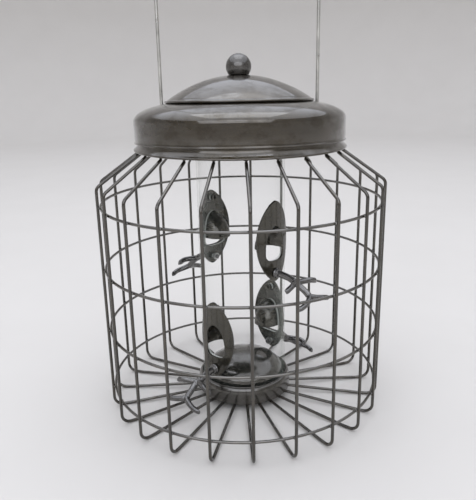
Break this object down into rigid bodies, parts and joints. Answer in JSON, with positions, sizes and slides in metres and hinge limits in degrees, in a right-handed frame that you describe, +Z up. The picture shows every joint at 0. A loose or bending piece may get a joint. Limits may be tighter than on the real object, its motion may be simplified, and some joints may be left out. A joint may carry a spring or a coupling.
{
  "type": "caged tube bird feeder",
  "caption": "Hanging seed tube with scooped ports and twig perches inside a round squirrel proof wire cage, with a lift-up cover, domed filler lid and wire bail.",
  "frame": {"origin": "bottom centre of the cage, on the plane that its lowest bars stand on, on the tube's axis", "axes": "+Z up along the tube's axis; the bail lies in the X-Z plane; -Y is the side seen in front"},
  "size_m": [0.2314, 0.2317, 0.4073],
  "materials": {
    "wire_paint": "glossy dark brown-grey paint on steel wire",
    "pewter_paint": "glossy dark pewter paint on spun steel",
    "cast_metal": "dark grey die casting",
    "bail_wire": "plain grey steel wire",
    "zinc": "zinc plated",
    "clear_plastic": "clear, with light scratches"
  },
  "bodies": {
    "feeder": {"bar_01": "wire_paint", "bar_02": "wire_paint", "bar_03": "wire_paint", "bar_04": "wire_paint", "bar_05": "wire_paint", "bar_06": "wire_paint", "bar_07": "wire_paint", "bar_08": "wire_paint", "bar_09": "wire_paint", "bar_10": "wire_paint", "bar_11": "wire_paint", "bar_12": "wire_paint", "bar_13": "wire_paint", "bar_14": "wire_paint", "bar_15": "wire_paint", "bar_16": "wire_paint", "bar_17": "wire_paint", "bar_18": "wire_paint", "bar_19": "wire_paint", "bar_20": "wire_paint", "bar_21": "wire_paint", "bar_22": "wire_paint", "bar_23": "wire_paint", "hoop_1": "wire_paint", "hoop_2": "wire_paint", "hoop_3": "wire_paint", "hoop_4": "wire_paint", "hub_hoop": "wire_paint", "collar": "pewter_paint", "top_plate": "pewter_paint", "bail": "bail_wire", "seed_tube": "clear_plastic", "tube_band": "pewter_paint", "base_dish": "pewter_paint", "seed_baffle": "pewter_paint", "clamp_plate": "pewter_paint", "base_screw": "zinc", "base_nut": "zinc", "port_1": "cast_metal", "port_2": "cast_metal", "port_3": "cast_metal", "port_4": "cast_metal", "perch_1": "cast_metal", "perch_2": "cast_metal", "perch_3": "cast_metal", "perch_4": "cast_metal", "perch_nut_1": "zinc", "perch_nut_2": "zinc", "perch_nut_3": "zinc", "perch_nut_4": "zinc"},
    "cover": {"cover": "pewter_paint"},
    "filler_lid": {"filler_lid": "pewter_paint", "knob": "cast_metal", "knob_nut": "zinc"}
  },
  "joints": [
    {"name": "cover_lift", "type": "slide", "parent": "feeder", "child": "cover", "axis": [0, 0, 1], "range_m": [0, 0.055]},
    {"name": "lid_lift", "type": "slide", "parent": "cover", "child": "filler_lid", "axis": [0, 0, 1], "range_m": [0, 0.035]}
  ]
}
